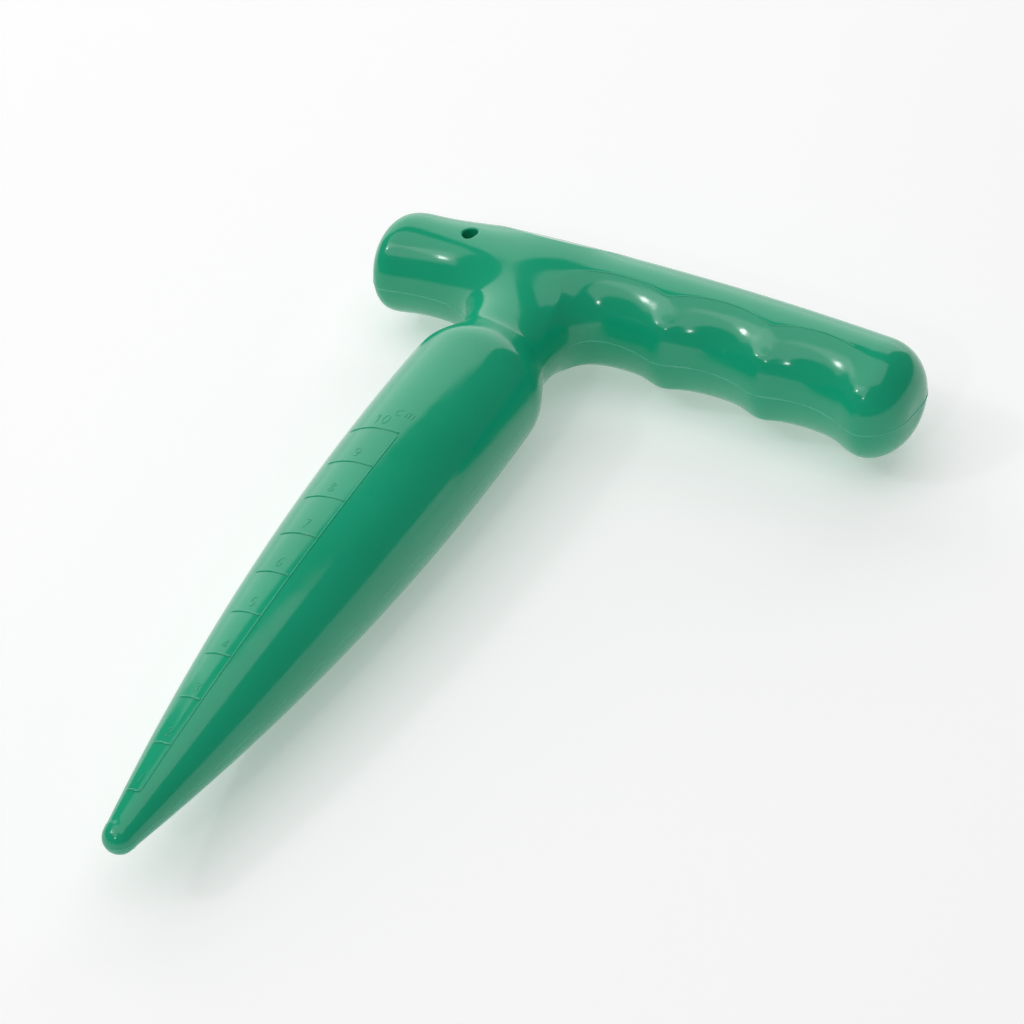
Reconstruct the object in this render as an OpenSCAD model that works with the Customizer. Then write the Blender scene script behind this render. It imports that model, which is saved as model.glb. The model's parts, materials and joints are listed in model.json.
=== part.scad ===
// T-handled dibber: a hollow plastic planting tool that presses tapered holes in soil.
//
// It lies on its side. X runs along the grip, +Y from the spike's tip to the grip, +Z up.
// The joint between its two half shells lies in one flat plane, parallel to the ground.
// Modules draw in the tool frame, with the tip at 0,0,0 and that plane at z = 0. The last
// module, placed(), moves each finished piece so that the origin is under the middle of the
// tool's bounding box, on the ground.

/* [Spike] */
// Length of the whole tool, from the tip to the crown of the grip
tool_len = 177; // [172:0.5:182]
// Diameter of the spike at its belly
spike_d = 29; // [28:0.5:31]
// Distance from the tip to the belly
belly_at = 120; // [115:1:124]
// Diameter of the ball at the tip
tip_d = 6.2; // [5.6:0.1:6.8]
// Distance from the tip to the rim, where the shoulder starts
rim_at = 134; // [131:0.5:136]
// Distance from the tip to the foot of the shoulder
foot_at = 141.5; // [140:0.5:143]
// Diameter of the neck between the shoulder and the grip
neck_d = 21.2; // [20:0.2:22.4]

/* [Grip] */
// Length of the grip, end to end
grip_len = 123; // [120:1:126]
// Part of that length on the short side of the spike
grip_short = 39; // [37:0.5:41]
// Diameter of the grip
grip_d = 25; // [24.4:0.2:25.6]
// Radius of the arch that the grip's centre line follows
arch_r = 530; // [480:10:700]
// Distance from the spike's axis to the crown of that arch
crown_x = 8; // [4:1:12]
// Rounding of the grip's ends
end_round = 9.6; // [8.6:0.2:10.4]

/* [Finger grooves] */
// Distance from the spike's axis to the first groove of the long side
groove_x = 20; // [19:0.5:21.5]
// Distance from one groove to the next
groove_pitch = 22.3; // [21.6:0.1:22.8]
// Number of grooves on the long side
groove_count = 3; // [1:1:3]
// Depth of these grooves
groove_depth = 2.9; // [2.4:0.1:2.9]
// Radius of these grooves, seen along the spike
groove_r = 17.5; // [16:0.5:18]
// How far a groove's ring sits behind the grip's centre line
groove_back = 3.6; // [3:0.1:4.4]
// Distance from the spike's axis to the shallow groove of the short side
thumb_x = 26; // [25:0.5:27]
// Depth of the short side's groove
thumb_depth = 3.2; // [2.6:0.1:3.6]
// Radius of the short side's groove
thumb_r = 43; // [38:1:46]

/* [Hanging hole] */
// Diameter of the hole for a hook or a cord
hole_d = 3.4; // [3:0.2:4.4]
// Distance from the spike's axis to the hole
hole_x = 17.9; // [16:0.1:19]
// Distance from the grip's centre line to the hole, towards the crown
hole_back = 1.4; // [0:0.1:2]
// Wall around the hole, inside the grip
hole_wall = 2; // [1.6:0.2:2.4]

/* [Shells and joint] */
// Thickness of the shells
wall = 2.6; // [2.2:0.1:3]
// Length of the nose that is solid
nose_len = 14; // [10:1:18]
// Thickness of the ribs inside
rib_t = 1.6; // [1.2:0.2:2]
// Gap that the ribs and posts of the two halves leave between them
rib_gap = 0.2; // [0.1:0.05:0.4]
// Width of the tongue that stands on the lower shell's edge
tongue_w = 0.9; // [0.7:0.1:1]
// Height of that tongue
tongue_h = 1.4; // [1:0.1:1.8]
// Clearance of the tongue in its groove, on each side
tongue_gap = 0.1; // [0.05:0.05:0.2]
// Diameter of the locating pegs
peg_d = 3; // [2.6:0.1:3.4]
// Length of the pegs
peg_len = 4; // [3:0.5:5]
// Clearance of a peg in its socket, on each side
peg_gap = 0.1; // [0.05:0.05:0.2]
// Diameter of the posts that carry the pegs and the sockets
post_d = 6.4; // [6:0.2:7]

/* [Weld seam] */
// Thickness of the seam of melted plastic between the shells
seam_t = 0.3; // [0.2:0.05:0.4]
// How far in from the surface the seam reaches
seam_deep = 0.6; // [0.4:0.05:0.7]
// How far the seam stands out of the surface
seam_proud = 0.1; // [0.05:0.05:0.2]

/* [Depth scale] */
// Distance between the marks
mark_step = 10; // [5:1:12]
// Number of marks
mark_count = 10; // [5:1:10]
// Width of a mark
mark_w = 0.6; // [0.4:0.1:0.9]
// Height of the marks above the surface
mark_h = 0.25; // [0.15:0.05:0.4]
// Sideways place of the long line at the first mark, and at the last
line_x = [0.2, 1.9];
// Sideways place of the marks' free ends at the first mark, and at the last
free_x = [-2.8, -9.6];

/* [Hidden] */
$fn = 96;
plastic = [0.05, 0.46, 0.31];
spike_r = spike_d / 2;
tip_r = tip_d / 2;
neck_r = neck_d / 2;
grip_r = grip_d / 2;
// The spike's side is one arc that is parallel to the axis at the belly and would reach the
// tip's end a little inside the ball there
nose_r = 0.8 * tip_r;
side_drop = spike_r - nose_r;
side_r = (belly_at * belly_at + side_drop * side_drop) / (2 * side_drop);
rim_r = side_at(rim_at);
// The neck widens from here, at 45 degrees, by this much on each side
flare_at = tool_len - grip_d - 4;
flare_w = 7;
neck_top = flare_at - 10;
crown_y = tool_len - grip_r;
arch_y = crown_y - arch_r;
// Angles of the arch at which the rounded ends start
end_long = asin((grip_len - grip_short - crown_x - end_round) / (arch_r + grip_r - end_round));
end_short = asin((grip_short + crown_x - end_round) / (arch_r + grip_r - end_round));
end_x_long = crown_x + arch_r * sin(end_long);
end_x_short = crown_x - arch_r * sin(end_short);
// The tongue runs along the middle of the wall
tongue_in = (wall - tongue_w) / 2;
big = 2 * tool_len;
rib_spike = [34, 70, 104, 128];
rib_grip = [-31.5, groove_x, groove_x + groove_pitch, groove_x + 2 * groove_pitch];
// Posts stand on the spike's axis, and on the grip's centre line between the grooves
post_spike = [52, 117];
post_grip = [-26, groove_x + 0.5 * groove_pitch, groove_x + 1.5 * groove_pitch];
post_at = concat([for (y = post_spike) [0, y]], [for (x = post_grip) [x, arch_at(x)]]);
hole_y = arch_at(-hole_x) + hole_back;
far = 60;
// The bar runs this angle past its rounded ends before they are cut
end_over = 1.5;
// The ends' rounding meets the bar in a faint edge, which keeps both surfaces exact
end_lap = 0.3;
core_r = grip_r - end_round + end_lap;

// Radius of the spike's side at a distance from the tip
function side_at(y) = spike_r - side_r + sqrt(side_r * side_r - pow(y - belly_at, 2));

// Height of the grip's centre line above the tip, at a distance from the spike's axis
function arch_at(x) = arch_y + sqrt(arch_r * arch_r - pow(x - crown_x, 2));

// Place on a straight line between two values, for a mark's number
function along(ends, mark) = ends[0] + (ends[1] - ends[0]) * (mark - 1) / (mark_count - 1);

// Turns the right half of a flat shape about the tool's Y axis
module about_y() {
    rotate([-90, 0, 0])
        rotate_extrude()
            right_half()
                children();
}

// The part of a flat shape on the positive side of X = 0
module right_half() {
    intersection() {
        children();
        translate([0, -big / 2])
            square([big, big]);
    }
}

// Places something on the grip's centre line, x from the spike's axis, with its own X along it
module at_arch(x) {
    translate([crown_x, arch_y, 0])
        rotate([0, 0, -asin((x - crown_x) / arch_r)])
            translate([0, arch_r, 0])
                children();
}

// Flat outline of the spike, t inside its surface. At the depth of the hollow it starts
// behind the solid nose
module spike_plan(t) {
    start = t < wall ? tip_r : nose_len;
    intersection() {
        translate([spike_r - side_r, belly_at])
            circle(r = side_r - t, $fn = 720);
        translate([side_r - spike_r, belly_at])
            circle(r = side_r - t, $fn = 720);
        polygon([
            [-spike_d, start],
            [spike_d, start],
            [spike_d, rim_at - spike_d + rim_r],
            [rim_r - t, rim_at],
            [neck_r - t, foot_at - t],
            [t - neck_r, foot_at - t],
            [t - rim_r, rim_at],
            [-spike_d, rim_at - spike_d + rim_r]
        ]);
    }
    if (t < wall)
        translate([0, tip_r])
            circle(r = tip_r - t);
}

// Flat outline of the neck, which widens into the grip
module neck_plan(t) {
    polygon([
        [neck_r - t, rim_at],
        [neck_r - t, flare_at],
        [neck_r - t + flare_w, flare_at + flare_w],
        [neck_r - t + flare_w, crown_y],
        [t - neck_r - flare_w, crown_y],
        [t - neck_r - flare_w, flare_at + flare_w],
        [t - neck_r, flare_at],
        [t - neck_r, rim_at]
    ]);
}

// Flat outline of one end of the grip, which points along +X
module end_plan(t) {
    intersection() {
        union() {
            translate([-end_round, -core_r])
                square([2 * end_round - t, 2 * core_r]);
            for (y = [-core_r, core_r])
                translate([0, y])
                    circle(r = end_round - t);
        }
        translate([-end_round / 2, -far / 2])
            square([far, far]);
    }
}

// The tool's outline in the joint plane, t inside its surface
module outline(t) {
    spike_plan(t);
    neck_plan(t);
    difference() {
        intersection() {
            translate([crown_x, arch_y])
                circle(r = arch_r + grip_r - t, $fn = 720);
            translate([-far, neck_top])
                square([3 * far, far]);
        }
        translate([crown_x, arch_y])
            circle(r = arch_r - grip_r + t, $fn = 720);
        at_arch(end_x_long)
            end_off()
                end_plan(t);
        at_arch(end_x_short)
            mirror([1, 0])
                end_off()
                    end_plan(t);
        for (i = [0 : groove_count - 1])
            groove_plan(groove_x + i * groove_pitch, groove_depth, groove_r, t);
        groove_plan(-thumb_x, thumb_depth, thumb_r, t);
    }
}

// What is left of everything beyond x = 0 when an end's outline is taken off it
module end_off() {
    difference() {
        translate([0, -far])
            square([2 * far, 2 * far]);
        children();
    }
}

// Outline of the cutter that makes one groove, centred at x along the grip and depth deep
module groove_plan(x, depth, r, t) {
    at_arch(x)
        translate([0, depth - grip_r - r])
            circle(r = r + t);
}

// The spike down to a depth t below its surface. Its axis is Y
module spike(t) {
    about_y()
        spike_plan(t);
}

// The neck, no thicker than the grip
module neck(t) {
    intersection() {
        about_y()
            neck_plan(t);
        rotate([90, 0, 90])
            linear_extrude(height = big, center = true)
                polygon([
                    [rim_at, neck_r - t],
                    [flare_at, neck_r - t],
                    [crown_y - grip_r / 3, 0.93 * grip_r - t],
                    [crown_y, 0.93 * grip_r - t],
                    [crown_y, t - 0.93 * grip_r],
                    [crown_y - grip_r / 3, t - 0.93 * grip_r],
                    [flare_at, t - neck_r],
                    [rim_at, t - neck_r]
                ]);
    }
}

// What is cut off one end of the grip to round it, from the plane x = 0 towards +X
module end_cut(t) {
    difference() {
        translate([0, -far / 2, -far / 2])
            cube([far / 2, far, far]);
        rotate([0, 90, 0])
            rotate_extrude()
                right_half()
                    rotate(90)
                        end_plan(t);
    }
}

// The ring that a finger groove is cut with
module groove_ring(x, depth, r, t) {
    at_arch(x)
        translate([0, groove_back, 0])
            rotate([0, 90, 0])
                rotate_extrude()
                    translate([grip_r - depth + groove_back + r, 0])
                        circle(r = r + t);
}

// The grip with its finger grooves, down to a depth t below its surface
module grip(t) {
    difference() {
        translate([crown_x, arch_y, 0])
            rotate([0, 0, 90 - end_long - end_over])
                rotate_extrude(angle = end_long + end_short + 2 * end_over, $fn = 720)
                    translate([arch_r, 0])
                        circle(r = grip_r - t);
        at_arch(end_x_long)
            end_cut(t);
        at_arch(end_x_short)
            mirror([1, 0, 0])
                end_cut(t);
        for (i = [0 : groove_count - 1])
            groove_ring(groove_x + i * groove_pitch, groove_depth, groove_r, t);
        groove_ring(-thumb_x, thumb_depth, thumb_r, t);
    }
}

// The whole outer form, or the form t below the surface everywhere
module form(t) {
    union() {
        spike(t);
        neck(t);
        grip(t);
    }
}

// Everything on one side of a plane z = z0, on the side that dir points to
module half(z0, dir) {
    translate([-big / 2, -big / 2, dir > 0 ? z0 : z0 - far])
        cube([big, big, far]);
}

// Stiffening ribs of one half: discs across the spike and plates across the grip
module ribs() {
    for (y = rib_spike)
        translate([-far / 2, y - rib_t / 2, -far / 2])
            cube([far, rib_t, far]);
    for (x = rib_grip)
        at_arch(x)
            translate([-rib_t / 2, -far / 2, -far / 2])
                cube([rib_t, far, far]);
}

// Posts for the pegs and sockets, and the pipe around the hanging hole
module posts(d) {
    for (p = post_at)
        translate([p[0], p[1], -far / 2])
            cylinder(d = d, h = far);
    translate([-hole_x, hole_y, -far / 2])
        cylinder(d = hole_d + 2 * hole_wall, h = far);
}

// The hanging hole, right through
module hole() {
    translate([-hole_x, hole_y, -far / 2])
        cylinder(d = hole_d, h = far);
}

// Wall, ribs and posts of one half. dir is 1 above the joint plane and -1 below it
module half_shell(dir) {
    difference() {
        intersection() {
            form(0);
            half(0, dir);
        }
        intersection() {
            difference() {
                form(wall);
                intersection() {
                    union() {
                        ribs();
                        posts(post_d);
                    }
                    half(dir * rib_gap / 2, dir);
                }
            }
            half(-dir * rib_gap, dir);
        }
        hole();
        seam_space();
    }
}

// A band that follows the outline, between two depths inside it and two heights
module band(out, deep, z0, z1) {
    translate([0, 0, z0])
        linear_extrude(height = z1 - z0)
            difference() {
                outline(out);
                outline(deep);
            }
}

// Room for the weld seam at the outer edge of the joint
module seam_space() {
    band(-2 * seam_proud, seam_deep, -seam_t / 2, seam_t / 2);
}

// The raised depth scale: marks across the spike that start at one long line
module scale_plan() {
    first = mark_step;
    last = mark_step * mark_count;
    polygon([
        [line_x[0] - mark_w / 2, first - mark_w / 2],
        [line_x[0] + mark_w / 2, first - mark_w / 2],
        [line_x[1] + mark_w / 2, last + mark_w / 2],
        [line_x[1] - mark_w / 2, last + mark_w / 2]
    ]);
    for (i = [1 : mark_count])
        translate([along(free_x, i), i * mark_step - mark_w / 2])
            square([along(line_x, i) - along(free_x, i), mark_w]);
}

module depth_scale() {
    intersection() {
        difference() {
            spike(-mark_h);
            spike(wall / 2);
        }
        linear_extrude(height = far)
            scale_plan();
    }
}

// Moves a finished piece from the tool frame to the ground under its middle
module placed() {
    translate([grip_short - grip_len / 2, -tool_len / 2, spike_r])
        children();
}

// Upper half shell, with the depth scale, the groove of the joint and the peg sockets
module upper_shell() {
    color(plastic)
        placed()
            difference() {
                union() {
                    half_shell(1);
                    depth_scale();
                }
                band(tongue_in - tongue_gap, tongue_in + tongue_w + tongue_gap,
                    -1, tongue_h + tongue_gap);
                for (p = post_at)
                    translate([p[0], p[1], -1])
                        cylinder(d = peg_d + 2 * peg_gap, h = peg_len + 1.5);
            }
}

// Lower half shell, with the tongue of the joint and the locating pegs
module lower_shell() {
    color(plastic)
        placed()
            union() {
                half_shell(-1);
                band(tongue_in, tongue_in + tongue_w, -1, tongue_h);
                for (p = post_at)
                    translate([p[0], p[1], -1])
                        cylinder(d = peg_d, h = peg_len + 1);
            }
}

// Thin ring of melted and set plastic that closes the joint all round
module weld_seam() {
    color(plastic)
        placed()
            band(-seam_proud, seam_deep, -seam_t / 2, seam_t / 2);
}

upper_shell();
lower_shell();
weld_seam();
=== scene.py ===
import json
import math

import bmesh
import bpy
import numpy as np
from mathutils import Matrix, Quaternion, Vector


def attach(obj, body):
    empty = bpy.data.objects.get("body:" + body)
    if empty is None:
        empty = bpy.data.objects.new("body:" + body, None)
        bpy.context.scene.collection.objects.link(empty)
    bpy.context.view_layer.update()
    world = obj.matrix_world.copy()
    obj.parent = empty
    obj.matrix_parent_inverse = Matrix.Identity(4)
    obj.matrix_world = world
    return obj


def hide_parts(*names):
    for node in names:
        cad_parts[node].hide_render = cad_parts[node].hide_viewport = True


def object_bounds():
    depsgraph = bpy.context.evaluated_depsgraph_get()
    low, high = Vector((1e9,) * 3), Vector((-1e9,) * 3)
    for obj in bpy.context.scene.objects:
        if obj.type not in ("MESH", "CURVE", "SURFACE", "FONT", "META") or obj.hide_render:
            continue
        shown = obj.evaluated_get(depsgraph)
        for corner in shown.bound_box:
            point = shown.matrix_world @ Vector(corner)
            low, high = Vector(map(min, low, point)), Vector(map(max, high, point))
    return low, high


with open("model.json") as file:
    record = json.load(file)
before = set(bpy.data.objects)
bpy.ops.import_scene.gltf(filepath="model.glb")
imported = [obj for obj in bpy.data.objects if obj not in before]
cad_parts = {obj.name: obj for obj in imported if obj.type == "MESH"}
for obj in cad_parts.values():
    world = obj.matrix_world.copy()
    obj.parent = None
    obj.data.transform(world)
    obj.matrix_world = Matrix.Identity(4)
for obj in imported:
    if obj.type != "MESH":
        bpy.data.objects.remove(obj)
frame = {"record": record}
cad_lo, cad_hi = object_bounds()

MM = 0.001
mount = [m for m in frame["record"]["mounts"] if m["name"] == "hanging_hole"][0]

# Sizes in millimetres, in the tool frame: the tip is at 0,0,0, +Y runs from the tip to the
# grip, X along the grip and the joint plane is z = 0.
TOOL_LEN = (cad_hi.y - cad_lo.y) / MM
SPIKE_R = (cad_hi.z - cad_lo.z) / 2 / MM
BLEND_TIP = 0.6                # rounding where the spike's side meets the ball of its tip
HOLE_SOFT = 0.7                # rounding of the hanging hole's rim
NOSE_LEN = 14.0                # solid length behind the tip
HOLLOW_SOFT = 1.0              # rounding inside the shells
HOLLOW_CELL = 1.0
HOLE_R = mount["dims"]["r_mm"]
HOLE_X = -17.9                 # the hole's place along the grip, on the short side
BELLY_AT = 119.6
SIDE_R = 600.0                 # arc of the spike's side
TIP_R = 3.1
RIM_AT, RIM_R = 133.3, 14.4
FOOT_AT = 142.0
RIM_SOFT = 1.6
NECK_R = 10.56
FOOT_SOFT = 1.2
NECK_BLEND = 11.3
GRIP_R = 12.45
ARCH_R = 528.0
CROWN_X = 7.74
CROWN_Y = TOOL_LEN - GRIP_R + 0.15
ARCH_Y = CROWN_Y - ARCH_R
END_LONG, END_SHORT = 83.9, -39.0
END_ROUND = 9.8
# Finger grooves: place along the grip, depth, radius at the front, set back of the ring
GROOVES = [(19.4, 3.6, 25.0, 5.3), (42.4, 3.7, 24.0, 4.9), (64.2, 3.6, 22.0, 4.5)]
FLAT_FROM, FLAT_TO, FLAT_BY = 28.0, 62.0, 2.2    # how a groove flattens out towards its crease
THUMB_X, THUMB_DEPTH, THUMB_R, THUMB_BACK = -26.5, 3.4, 43.6, 1.9
RIDGE_SOFT = 4.0               # rounding of the ridges between the grooves, at the front
RIDGE_TOP = 0.5                # the same, up at the creases
CREASE_SOFT = 0.25             # rounding where a groove meets the grip's cylinder
EDGE_W, EDGE_H, EDGE_OUT = 0.36, 0.09, 11.0    # the fine line along the grooves' edge
END_SOFT = 3.0                 # the same, at the knob that ends the long side
THUMB_SOFT = 3.0               # the same, round the short side's groove
WALL = 2.6
PIPE_R = HOLE_R + 2.0
CELL = 0.45

ORIGIN = Vector((mount["pos_m"][0] - HOLE_X * MM, cad_lo.y, mount["pos_m"][2]))


def smin(a, b, k):
    h = np.maximum(k - np.abs(a - b), 0.0) / k
    return np.minimum(a, b) - h * h * h * k / 6.0


def smax(a, b, k):
    return -smin(-a, -b, k)


def arc_place(x):
    """Distance along the grip's centre line, from its crown, of a place given by x."""
    return ARCH_R * math.asin((x - CROWN_X) / ARCH_R)


def spike_field(r, y):
    """Signed distance to the spike, its shoulder and its rounded tip."""
    side = np.hypot(r - (SPIKE_R - SIDE_R), y - BELLY_AT) - SIDE_R
    side = np.maximum(side, TIP_R - y)
    ball = np.hypot(r, y - TIP_R) - TIP_R
    body = smin(side, ball, BLEND_TIP)
    run, drop = FOOT_AT - RIM_AT, RIM_R - NECK_R
    long = math.hypot(run, drop)
    shoulder = (drop * (y - RIM_AT) + run * (r - RIM_R)) / long
    return smax(body, shoulder, RIM_SOFT)


def neck_field(r, y):
    return np.maximum(r - NECK_R, np.maximum(RIM_AT - y, y - CROWN_Y))


def top_share(n, z, back):
    """0 on the front of the grip, 1 up at the creases of the grooves."""
    angle = np.degrees(np.arctan2(np.abs(z), back - n))
    share = np.clip((angle - FLAT_FROM) / (FLAT_TO - FLAT_FROM), 0, 1)
    return share * share * (3 - 2 * share)


def ring_field(s, n, z, place, depth, radius, back, flat_by):
    """Distance to the ring-shaped cutter that makes one finger groove."""
    radius = radius * (1 + flat_by * top_share(n, z, back))
    across = np.hypot(n - back, z) - (GRIP_R - depth + back + radius)
    return np.hypot(s - arc_place(place), across) - radius


def rings_field(s, n, z):
    """All the finger grooves' cutters together, with the ridges between them rounded."""
    rings = None
    for place, depth, radius, back in GROOVES:
        ring = ring_field(s, n, z, place, depth, radius, back, FLAT_BY)
        soft = RIDGE_SOFT + (RIDGE_TOP - RIDGE_SOFT) * top_share(n, z, back)
        rings = ring if rings is None else smin(rings, ring, soft)
    return rings


def grip_field(x, y, z):
    s = ARCH_R * np.arctan2(x - CROWN_X, y - ARCH_Y)
    n = np.hypot(x - CROWN_X, y - ARCH_Y) - ARCH_R
    lo, hi = arc_place(END_SHORT), arc_place(END_LONG)
    q = np.hypot(n, z) - (GRIP_R - END_ROUND)
    e = np.abs(s - (lo + hi) / 2) - ((hi - lo) / 2 - END_ROUND)
    bar = np.hypot(np.maximum(q, 0), np.maximum(e, 0)) + np.minimum(np.maximum(q, e), 0)
    bar = bar - END_ROUND
    cut = ring_field(s, n, z, THUMB_X, THUMB_DEPTH, THUMB_R, THUMB_BACK, 0)
    near_end = np.clip((s - arc_place(GROOVES[-1][0]) - 4.0) / 8.0, 0, 1)
    soft = CREASE_SOFT + (END_SOFT - CREASE_SOFT) * near_end * near_end * (3 - 2 * near_end)
    return smax(smax(bar, -rings_field(s, n, z), soft), -cut, THUMB_SOFT)


def form_field(x, y, z):
    r = np.hypot(x, z)
    stem = smin(spike_field(r, y), neck_field(r, y), FOOT_SOFT)
    return smin(stem, grip_field(x, y, z), NECK_BLEND)


HOLE_Y = (mount["pos_m"][1] - cad_lo.y) / MM


def outer_field(x, y, z):
    """The outer form with the hanging hole through it."""
    bore = HOLE_R - np.hypot(x - HOLE_X, y - HOLE_Y)
    return smax(form_field(x, y, z), bore, HOLE_SOFT)


def hollow_field(x, y, z):
    """The space inside the shells: it leaves the wall, the solid nose and the hole's pipe."""
    pipe = PIPE_R - np.hypot(x - HOLE_X, y - HOLE_Y)
    nose = NOSE_LEN - y
    return smax(smax(form_field(x, y, z) + WALL, pipe, HOLLOW_SOFT), nose, HOLLOW_SOFT)


def gradient(field, p, e=0.01):
    g = np.empty_like(p)
    for a in range(3):
        step = np.zeros(3)
        step[a] = e
        hi, lo = p + step, p - step
        g[:, a] = (field(*hi.T) - field(*lo.T)) / (2 * e)
    return g


def settle(field, p, rounds=3):
    for _ in range(rounds):
        g = gradient(field, p)
        f = field(*p.T)
        p = p - g * (f / np.maximum((g * g).sum(1), 1e-6))[:, None]
    return p


def surface_nets(field, lo, hi, cell):
    """Quad mesh of the zero surface of a field, one vertex for each cell that it crosses."""
    ax = [np.arange(lo[i], hi[i] + cell, cell) for i in range(3)]
    shape = tuple(len(a) for a in ax)
    values = np.empty(shape, np.float32)
    for i, x in enumerate(ax[0]):
        Y, Z = np.meshgrid(ax[1], ax[2], indexing="ij")
        values[i] = field(np.full(Y.shape, x), Y, Z)
    inside = values < 0
    total = np.zeros(tuple(n - 1 for n in shape), np.int8)
    corners = [(i, j, k) for i in (0, 1) for j in (0, 1) for k in (0, 1)]
    for i, j, k in corners:
        total += inside[i:shape[0] - 1 + i, j:shape[1] - 1 + j, k:shape[2] - 1 + k]
    cells = np.argwhere((total > 0) & (total < 8))
    index = np.full(total.shape, -1, np.int64)
    index[tuple(cells.T)] = np.arange(len(cells))
    at = {c: values[tuple((cells + c).T)].astype(float) for c in corners}
    point_sum = np.zeros((len(cells), 3))
    count = np.zeros(len(cells))
    for c in corners:
        for a in range(3):
            if c[a] == 0:
                d = tuple(1 if i == a else c[i] for i in range(3))
                f0, f1 = at[c], at[d]
                crossed = (f0 < 0) != (f1 < 0)
                t = np.where(crossed, f0 / np.where(crossed, f0 - f1, 1.0), 0.0)
                offset = np.tile(np.array(c, float), (len(cells), 1))
                offset[:, a] += t
                point_sum += np.where(crossed[:, None], offset, 0.0)
                count += crossed
    verts = np.array(lo) + cell * (cells + point_sum / count[:, None])
    quads = []
    for a in range(3):
        b, c = (a + 1) % 3, (a + 2) % 3
        head = [slice(None)] * 3
        tail = [slice(None)] * 3
        head[a], tail[a] = slice(0, -1), slice(1, None)
        change = inside[tuple(head)] != inside[tuple(tail)]
        edges = np.argwhere(change)
        ok = (edges[:, b] > 0) & (edges[:, c] > 0)
        ok &= (edges[:, b] < shape[b] - 1) & (edges[:, c] < shape[c] - 1)
        edges = edges[ok]
        starts_inside = inside[tuple(edges.T)]
        ring = []
        for db, dc in ((-1, -1), (0, -1), (0, 0), (-1, 0)):
            e = edges.copy()
            e[:, b] += db
            e[:, c] += dc
            ring.append(index[tuple(e.T)])
        ring = np.array(ring).T
        ring[~starts_inside] = ring[~starts_inside][:, ::-1]
        quads.append(ring)
    return verts, np.concatenate(quads)


def relax(field, verts, quads, rounds):
    """Evens out the mesh along the surface and puts it back on the surface."""
    pairs = np.concatenate([quads[:, [i, (i + 1) % 4]] for i in range(4)])
    for _ in range(rounds):
        mean = np.zeros_like(verts)
        count = np.zeros(len(verts))
        for i, j in ((0, 1), (1, 0)):
            np.add.at(mean, pairs[:, i], verts[pairs[:, j]])
            np.add.at(count, pairs[:, i], 1)
        move = mean / np.maximum(count, 1)[:, None] - verts
        n = gradient(field, verts)
        n /= np.maximum(np.linalg.norm(n, axis=1), 1e-6)[:, None]
        move -= n * (move * n).sum(1)[:, None]
        verts = settle(field, verts + 0.6 * move, 1)
    return verts


def half_surface(field, cell):
    """The part of a field's surface above the joint plane, with its edge in that plane."""
    lo = (END_SHORT - 2, -2, -2.5 * cell)
    hi = (END_LONG + 2, TOOL_LEN + 2, SPIKE_R + 2)
    verts, quads = surface_nets(field, lo, hi, cell)
    verts = relax(field, settle(field, verts, 2), quads, 4)
    verts = settle(field, verts, 2)
    bm = bmesh.new()
    made = [bm.verts.new(v) for v in verts.tolist()]
    for q in quads.tolist():
        bm.faces.new([made[i] for i in q])
    everything = bm.verts[:] + bm.edges[:] + bm.faces[:]
    bmesh.ops.bisect_plane(bm, geom=everything, dist=0.06, plane_co=(0, 0, 0),
                           plane_no=(0, 0, 1), clear_inner=True)
    loose = [v for v in bm.verts if not v.link_faces]
    bmesh.ops.delete(bm, geom=loose, context="VERTS")
    edge = [v for v in bm.verts if v.is_boundary]
    for v in edge:
        v.co.z = 0.0
    flat = settle(lambda x, y, z: field(x, y, z * 0), np.array([v.co for v in edge]), 3)
    for v, p in zip(edge, flat.tolist()):
        v.co = (p[0], p[1], 0.0)
    return bm


def to_row(points):
    return np.asarray(points) * MM + np.array(ORIGIN)


def new_object(name, verts, faces):
    mesh = bpy.data.meshes.new(name)
    mesh.from_pydata([tuple(v) for v in to_row(verts)], [], faces)
    mesh.update()
    obj = bpy.data.objects.new(name, mesh)
    bpy.context.scene.collection.objects.link(obj)
    return obj


def smooth(obj):
    obj.data.polygons.foreach_set("use_smooth", [True] * len(obj.data.polygons))
    return obj


def from_tip(loop):
    """The same outline, run anticlockwise from its point nearest the tip."""
    x, y = loop[:, 0], loop[:, 1]
    if np.sum(x * np.roll(y, -1) - np.roll(x, -1) * y) < 0:
        loop = loop[::-1]
    first = np.lexsort((loop[:, 0], loop[:, 1]))[0]
    return np.roll(loop, -first, axis=0)


def joint_loops(bm):
    """The outlines in the joint plane, longest first, each as points in order."""
    left = {e for e in bm.edges if e.is_boundary}
    loops = []
    while left:
        e = left.pop()
        start, v = e.verts
        chain = [start, v]
        while v != start:
            e = next(x for x in v.link_edges if x in left)
            left.discard(e)
            v = e.other_vert(v)
            chain.append(v)
        loops.append(from_tip(np.array([p.co[:] for p in chain[:-1]])))
    return sorted(loops, key=len, reverse=True)


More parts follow.
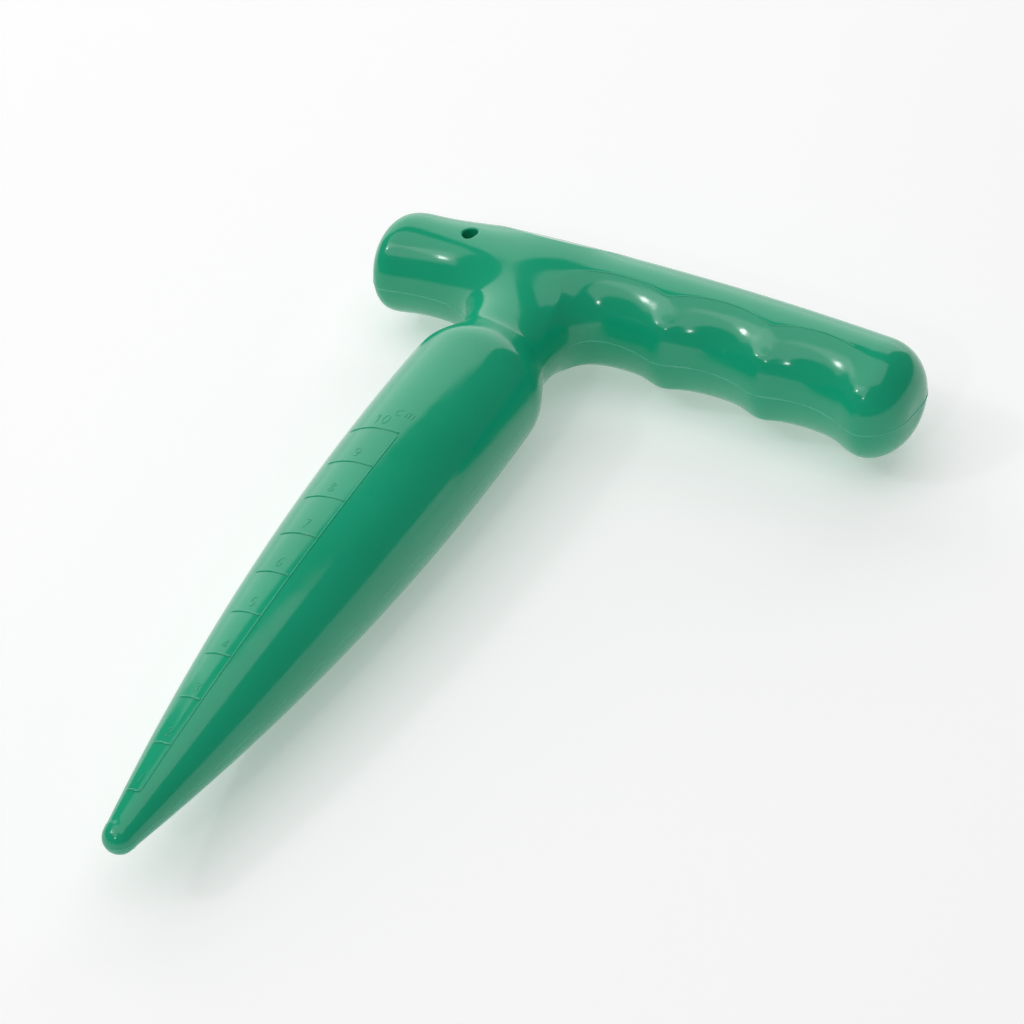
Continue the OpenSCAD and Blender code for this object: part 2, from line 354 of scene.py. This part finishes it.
def build_shells():
    outer = half_surface(outer_field, CELL)
    outline = joint_loops(outer)[0]
    hollow = half_surface(hollow_field, HOLLOW_CELL)
    bmesh.ops.reverse_faces(hollow, faces=hollow.faces[:])
    inner_mesh = bpy.data.meshes.new("inner")
    hollow.to_mesh(inner_mesh)
    outer.from_mesh(inner_mesh)
    edges = [e for e in outer.edges if e.is_boundary]
    bmesh.ops.triangle_fill(outer, use_beauty=True, use_dissolve=False, edges=edges)
    outer.verts.index_update()
    verts = np.array([v.co[:] for v in outer.verts])
    faces = [[v.index for v in f.verts] for f in outer.faces]
    outer.free()
    hollow.free()
    flat = [bool(np.all(np.abs(verts[f, 2]) < 1e-6)) for f in faces]
    up = []
    for f, is_flat in zip(faces, flat):
        if is_flat:
            a, b, c = verts[f[0]], verts[f[1]], verts[f[2]]
            if np.cross(b - a, c - a)[2] > 0:
                f = f[::-1]
        up.append(f)
    is_outer = np.abs(outer_field(*verts.T)) < np.abs(hollow_field(*verts.T))
    outer_n = gradient(outer_field, verts)
    inner_n = -gradient(hollow_field, verts)
    for n in (outer_n, inner_n):
        n /= np.maximum(np.linalg.norm(n, axis=1), 1e-9)[:, None]
    shells = []
    for name, side in (("upper_shell_skin", 1), ("lower_shell_skin", -1)):
        turn = np.array([1, 1, side])
        fs = up if side > 0 else [f[::-1] for f in up]
        obj = smooth(new_object(name, verts * turn, fs))
        normals = []
        for i, f in enumerate(fs):
            if flat[i]:
                normals += [(0.0, 0.0, -float(side))] * len(f)
            else:
                n = outer_n if is_outer[f[0]] else inner_n
                normals += (n[f] * turn).tolist()
        obj.data.normals_split_custom_set(normals)
        shells.append(obj)
    return shells[0], shells[1], outline


def surface_frame(point, tangent):
    """The surface's normal at a point, and the direction across a tangent there."""
    n = gradient(form_field, np.array([point]))[0]
    n /= np.linalg.norm(n)
    t = tangent - n * np.dot(tangent, n)
    t /= np.linalg.norm(t)
    return n, np.cross(n, t)


def spike_top(x, y):
    """Height of the spike's upper surface above a place in the joint plane."""
    z = math.sqrt(max(SPIKE_R ** 2 - x * x, 1.0))
    for _ in range(30):
        f = float(form_field(np.array([x]), np.array([y]), np.array([z]))[0])
        z -= f
        if abs(f) < 1e-5:
            break
    return z


def ridge(points, width, height, sunk, closed=False):
    """A raised line along points on the surface: vertices and faces of a closed ridge."""
    p = np.array(points, float)
    count = len(p)
    verts, faces = [], []
    sides = 8
    for i in range(count):
        if closed:
            tangent = p[(i + 1) % count] - p[i - 1]
            share = 1.0
        else:
            tangent = p[min(i + 1, count - 1)] - p[max(i - 1, 0)]
            share = 0.35 if i in (0, count - 1) else 1.0
        n, side = surface_frame(p[i], tangent)
        w = width[i] if isinstance(width, np.ndarray) else width
        h = height[i] if isinstance(height, np.ndarray) else height
        for k in range(sides):
            a = 2 * math.pi * k / sides
            up = math.sin(a)
            rise = h * up if up > 0 else sunk * up
            verts.append(p[i] + side * (w / 2 * share * math.cos(a)) + n * rise * share)
    last = count if closed else count - 1
    for i in range(last):
        for k in range(sides):
            a, b = i * sides + k, i * sides + (k + 1) % sides
            c, d = (i + 1) % count * sides + (k + 1) % sides, (i + 1) % count * sides + k
            faces.append([a, d, c, b])
    if not closed:
        faces.append([k for k in range(sides)])
        faces.append([(count - 1) * sides + k for k in range(sides)][::-1])
    return verts, faces


def on_spike(plan, step=0.5):
    """Follows a path of plan points along the spike's upper surface."""
    out = []
    for (x0, y0), (x1, y1) in zip(plan, plan[1:]):
        cuts = max(1, int(math.ceil(math.hypot(x1 - x0, y1 - y0) / step)))
        for i in range(cuts):
            t = i / cuts
            out.append((x0 + (x1 - x0) * t, y0 + (y1 - y0) * t))
    out.append(plan[-1])
    return [(x, y, spike_top(x, y)) for x, y in out]


# Depth scale: one long line, a mark at each centimetre and a number above each mark
MARK_STEP, MARK_COUNT = 10.0, 10
LINE_FIRST, LINE_LAST = 0.3, 1.8
FREE_FIRST, FREE_LAST = -2.8, -9.5
MARK_W, MARK_H = 0.5, 0.16
DIGIT_W, DIGIT_H = 0.26, 0.07
STROKES = {
    "0": [[(0.5, 0), (0.12, 0.2), (0.05, 0.5), (0.12, 0.8), (0.5, 1), (0.88, 0.8),
           (0.95, 0.5), (0.88, 0.2), (0.5, 0)]],
    "1": [[(0.2, 0.75), (0.55, 1), (0.55, 0)]],
    "2": [[(0.08, 0.78), (0.3, 1), (0.7, 1), (0.92, 0.75), (0.8, 0.5), (0.05, 0), (0.95, 0)]],
    "3": [[(0.08, 0.9), (0.5, 1), (0.9, 0.78), (0.5, 0.54), (0.92, 0.28), (0.5, 0), (0.05, 0.12)]],
    "4": [[(0.72, 0), (0.72, 1), (0.05, 0.3), (0.98, 0.3)]],
    "5": [[(0.9, 1), (0.18, 1), (0.12, 0.56), (0.6, 0.62), (0.93, 0.34), (0.6, 0), (0.06, 0.08)]],
    "6": [[(0.85, 0.92), (0.4, 0.9), (0.08, 0.4), (0.3, 0.02), (0.75, 0.04), (0.92, 0.32),
           (0.6, 0.58), (0.14, 0.42)]],
    "7": [[(0.05, 1), (0.95, 1), (0.35, 0)]],
    "8": [[(0.5, 0.53), (0.14, 0.76), (0.5, 1), (0.86, 0.76), (0.5, 0.53), (0.07, 0.25),
           (0.5, 0), (0.93, 0.25), (0.5, 0.53)]],
    "9": [[(0.15, 0.08), (0.6, 0.1), (0.92, 0.6), (0.7, 0.98), (0.25, 0.96), (0.08, 0.68),
           (0.4, 0.42), (0.86, 0.58)]],
    "c": [[(0.9, 0.55), (0.5, 0.66), (0.12, 0.45), (0.12, 0.2), (0.5, 0), (0.9, 0.1)]],
    "m": [[(0.05, 0), (0.05, 0.62)], [(0.05, 0.5), (0.3, 0.64), (0.5, 0.5), (0.5, 0)],
          [(0.5, 0.5), (0.75, 0.64), (0.95, 0.5), (0.95, 0)]],
}


def along(first, last, mark):
    return first + (last - first) * (mark - 1) / (MARK_COUNT - 1)


def join_ridges(name, parts):
    verts, faces = [], []
    for v, f in parts:
        base = len(verts)
        verts += v
        faces += [[i + base for i in face] for face in f]
    return smooth(new_object(name, verts, faces))


def build_scale():
    lines = []
    first, last = MARK_STEP, MARK_STEP * MARK_COUNT
    lines.append(ridge(on_spike([(LINE_FIRST, first), (LINE_LAST, last)], 1.0), MARK_W * 0.8,
                       MARK_H * 0.6, 0.3))
    for i in range(1, MARK_COUNT + 1):
        x0, x1 = along(LINE_FIRST, LINE_LAST, i), along(FREE_FIRST, FREE_LAST, i)
        y = i * MARK_STEP
        lines.append(ridge(on_spike([(x0, y), (x1, y)]), MARK_W, MARK_H, 0.3))
    digits = []
    for i in range(1, MARK_COUNT + 1):
        x0, x1 = along(LINE_FIRST, LINE_LAST, i), along(FREE_FIRST, FREE_LAST, i)
        height = 1.5 + 0.11 * i
        wide = 0.55 * height
        text = str(i)
        middle = x0 + 0.47 * (x1 - x0)
        left = middle - wide * len(text) / 2 - 0.15 * wide * (len(text) - 1)
        for k, sign in enumerate(text):
            digits += write(sign, left + k * 1.3 * wide, i * MARK_STEP + 1.4, wide, height)
    high = 0.27 * MARK_STEP
    for k, sign in enumerate("cm"):
        digits += write(sign, LINE_LAST - 3.6 + k * 0.85 * high, last + 4.2, 0.62 * high, high)
    return join_ridges("depth_scale", lines), join_ridges("scale_numbers", digits)


def write(sign, x, y, wide, high):
    out = []
    for stroke in STROKES[sign]:
        plan = [(x + u * wide, y + v * high) for u, v in stroke]
        out.append(ridge(on_spike(plan, 0.35), DIGIT_W, DIGIT_H, 0.25))
    return out


def build_seam(outline):
    """The bead of melted plastic all round the joint, a little uneven as a weld is."""
    closed = np.vstack([outline, outline[:1]])
    lengths = np.concatenate([[0], np.cumsum(np.linalg.norm(np.diff(closed, axis=0), axis=1))])
    count = int(lengths[-1] / 0.6)
    at = np.linspace(0, lengths[-1], count, endpoint=False)
    p = np.stack([np.interp(at, lengths, closed[:, i]) for i in range(3)], axis=1)
    p = settle(lambda x, y, z: form_field(x, y, z * 0), p, 3)
    p[:, 2] = 0
    wave = (np.sin(at * 0.37) + np.sin(at * 0.83 + 1.3) + np.sin(at * 2.1 + 0.4)) / 3
    on_grip = np.clip((p[:, 1] - 148.0) / 6.0, 0, 1)
    height = (0.02 + 0.07 * on_grip) * (1 + 0.4 * wave)
    width = (0.26 + 0.1 * on_grip) * (1 + 0.2 * np.sin(at * 0.59 + 2.0))
    verts, faces = ridge(p, width, height, 0.3, closed=True)
    return smooth(new_object("weld_seam_bead", verts, faces))


def build_edges():
    """The fine raised line where the finger grooves break through the grip's round surface."""
    angles = np.radians(np.arange(25.0, 110.0, 0.2))
    n, z = -GRIP_R * np.cos(angles), GRIP_R * np.sin(angles)
    first, last = arc_place(GROOVES[0][0]) - EDGE_OUT, arc_place(GROOVES[-1][0]) + EDGE_OUT
    points = []
    for s in np.arange(first, last, 0.5):
        cut = rings_field(np.full(n.shape, s), n, z)
        i = np.nonzero(cut < 0)[0][-1]
        reach = ARCH_R + n[i]
        turn = s / ARCH_R
        points.append((CROWN_X + reach * math.sin(turn), ARCH_Y + reach * math.cos(turn), z[i]))
    p = np.array(points)
    p = p[np.abs(form_field(*p.T)) < 0.2]
    p = settle(form_field, p, 3)
    parts = [ridge(p * np.array([1, 1, side]), EDGE_W, EDGE_H, 0.25) for side in (1, -1)]
    return join_ridges("groove_edges", parts)


def srgb(r, g, b):
    def line(c):
        c /= 255.0
        return c / 12.92 if c <= 0.04045 else ((c + 0.055) / 1.055) ** 2.4
    return (line(r), line(g), line(b), 1.0)


def plastic(name, low, high, rough, wave_height, grain_height):
    """Glossy moulded plastic: faint colour variation, soft waviness and a very fine grain."""
    mat = bpy.data.materials.new(name)
    mat.use_nodes = True
    nodes, links = mat.node_tree.nodes, mat.node_tree.links
    shader = nodes["Principled BSDF"]
    shader.inputs["IOR"].default_value = 1.5
    place = nodes.new("ShaderNodeTexCoord")
    patches = nodes.new("ShaderNodeTexNoise")
    patches.inputs["Scale"].default_value = 45.0
    patches.inputs["Detail"].default_value = 3.0
    colours = nodes.new("ShaderNodeValToRGB")
    colours.color_ramp.elements[0].color = low
    colours.color_ramp.elements[1].color = high
    colours.color_ramp.elements[0].position = 0.3
    colours.color_ramp.elements[1].position = 0.7
    links.new(place.outputs["Object"], patches.inputs["Vector"])
    links.new(patches.outputs["Fac"], colours.inputs["Fac"])
    links.new(colours.outputs["Color"], shader.inputs["Base Color"])
    scuffs = nodes.new("ShaderNodeTexNoise")
    scuffs.inputs["Scale"].default_value = 260.0
    scuffs.inputs["Detail"].default_value = 6.0
    span = nodes.new("ShaderNodeMapRange")
    span.inputs["From Min"].default_value = 0.35
    span.inputs["From Max"].default_value = 0.75
    span.inputs["To Min"].default_value = rough
    span.inputs["To Max"].default_value = rough * 1.7
    links.new(place.outputs["Object"], scuffs.inputs["Vector"])
    links.new(scuffs.outputs["Fac"], span.inputs["Value"])
    links.new(span.outputs["Result"], shader.inputs["Roughness"])
    waves = nodes.new("ShaderNodeTexNoise")
    waves.inputs["Scale"].default_value = 110.0
    waves.inputs["Detail"].default_value = 1.0
    soft = nodes.new("ShaderNodeBump")
    soft.inputs["Strength"].default_value = 1.0
    soft.inputs["Distance"].default_value = wave_height
    links.new(place.outputs["Object"], waves.inputs["Vector"])
    links.new(waves.outputs["Fac"], soft.inputs["Height"])
    grain = nodes.new("ShaderNodeTexNoise")
    grain.inputs["Scale"].default_value = 2600.0
    grain.inputs["Detail"].default_value = 2.0
    fine = nodes.new("ShaderNodeBump")
    fine.inputs["Strength"].default_value = 1.0
    fine.inputs["Distance"].default_value = grain_height
    links.new(place.outputs["Object"], grain.inputs["Vector"])
    links.new(grain.outputs["Fac"], fine.inputs["Height"])
    links.new(soft.outputs["Normal"], fine.inputs["Normal"])
    links.new(fine.outputs["Normal"], shader.inputs["Normal"])
    return mat


green = plastic("green_plastic", srgb(19, 168, 124), srgb(23, 174, 130), 0.10, 0.00005, 0.0000015)
seam_green = plastic("seam_plastic", srgb(60, 184, 146), srgb(74, 194, 158), 0.2, 0.00002, 0.000003)

upper, lower, outline = build_shells()
scale_lines, scale_numbers = build_scale()
groove_edges = build_edges()
bead = build_seam(outline)
for piece in (upper, lower, scale_lines, scale_numbers, groove_edges):
    piece.data.materials.append(green)
bead.data.materials.append(seam_green)
for piece in (upper, lower, scale_lines, scale_numbers, groove_edges, bead):
    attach(piece, "root")
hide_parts("upper_shell")
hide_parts("lower_shell")
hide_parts("weld_seam")

# Floor
bpy.ops.mesh.primitive_plane_add(size=8.0, location=(0, 0, cad_lo.z))
floor = bpy.context.object
floor.name = "floor"
floor_mat = bpy.data.materials.new("floor")
floor_mat.use_nodes = True
floor_shader = floor_mat.node_tree.nodes["Principled BSDF"]
floor_shader.inputs["Base Color"].default_value = (0.8, 0.8, 0.8, 1)
floor_shader.inputs["Roughness"].default_value = 0.9
floor_shader.inputs["Emission Color"].default_value = (1, 1, 1, 1)
floor_shader.inputs["Emission Strength"].default_value = 0.31
floor.data.materials.append(floor_mat)

# Light: azimuth is measured from +Y towards +X, elevation above the floor
centre = (cad_lo + cad_hi) / 2


def direction(azimuth, elevation):
    a, e = math.radians(azimuth), math.radians(elevation)
    return Vector((math.sin(a) * math.cos(e), math.cos(a) * math.cos(e), math.sin(e)))


def area_light(name, place, faces, size, radiance, turn=0.0):
    """A light panel with its middle at a place, facing along a direction. Radiance 1 is white."""
    light = bpy.data.lights.new(name, "AREA")
    light.shape = "ELLIPSE" if size[0] == size[1] else "RECTANGLE"
    light.size, light.size_y = size
    area = size[0] * size[1] * (math.pi / 4 if size[0] == size[1] else 1)
    light.energy = radiance * math.pi * area
    obj = bpy.data.objects.new(name, light)
    bpy.context.scene.collection.objects.link(obj)
    obj.location = place
    obj.rotation_mode = "QUATERNION"
    spin = Quaternion((0, 0, 1), math.radians(turn))
    obj.rotation_quaternion = (-faces).to_track_quat("Z", "Y") @ spin
    return obj


# A wide upright panel behind the tool, on the side of the grip's short end, from the table up
PANEL_FAR = 1.0
PANEL_AZIMUTH, PANEL_HALF, PANEL_TOP = -28.0, 42.0, 53.0
panel_high = PANEL_FAR * math.tan(math.radians(PANEL_TOP))
panel_wide = 2 * PANEL_FAR * math.tan(math.radians(PANEL_HALF))
panel_dir = direction(PANEL_AZIMUTH, 0)
area_light("panel", centre + panel_dir * PANEL_FAR + Vector((0, 0, panel_high / 2)), -panel_dir,
           (panel_wide, panel_high), 1.35)
# A level panel overhead, a little towards the camera and the short side
TOP_HIGH = 1.2
area_light("overhead", centre + Vector((-0.25, -0.07, 1.0)) * TOP_HIGH, Vector((0, 0, -1)),
           (1.65 * TOP_HIGH, 0.76 * TOP_HIGH), 1.15, 13.0)
# The panel on the camera's side, lower than the one overhead
FRONT_FAR = 1.2
front_dir = direction(-146, 54)
area_light("front", centre + front_dir * FRONT_FAR, -front_dir, (1.17, 0.5), 1.35, 13.0)
# Two lamps on the camera's side
for name, azimuth, elevation in (("lamp_a", -123, 46), ("lamp_b", 180, 37)):
    away = direction(azimuth, elevation)
    area_light(name, centre + away * 1.6, -away, (0.125, 0.125), 36.0)

world = bpy.data.worlds.new("studio")
bpy.context.scene.world = world
world.use_nodes = True
world.node_tree.nodes["Background"].inputs["Color"].default_value = (1, 1, 1, 1)
world.node_tree.nodes["Background"].inputs["Strength"].default_value = 0.12

# Camera at the photograph's viewing angle
LOOK_AT = Vector((0.0014, 0.0135, 0.0)) + Vector((0, 0, mount["pos_m"][2]))
VIEW_AZIMUTH = 149.45
VIEW_ELEVATION = 42.30
VIEW_DISTANCE = 0.4740
VIEW_ROLL = -0.085
cam_data = bpy.data.cameras.new("camera")
cam_data.sensor_width = 36.0
cam_data.lens = 87.08
cam_data.clip_start = 0.01
cam_data.clip_end = 20.0
camera = bpy.data.objects.new("camera", cam_data)
bpy.context.scene.collection.objects.link(camera)
back = direction(VIEW_AZIMUTH, VIEW_ELEVATION)
right = (-back).cross(Vector((0, 0, 1))).normalized()
up = right.cross(-back).normalized()
c, s = math.cos(VIEW_ROLL), math.sin(VIEW_ROLL)
right2, up2 = right * c + up * s, up * c - right * s
turn = Matrix((right2, up2, back)).transposed()
camera.matrix_world = Matrix.Translation(LOOK_AT + back * VIEW_DISTANCE) @ turn.to_4x4()
bpy.context.scene.camera = camera
bpy.context.scene.view_settings.view_transform = "Standard"
bpy.context.scene.view_settings.look = "None"
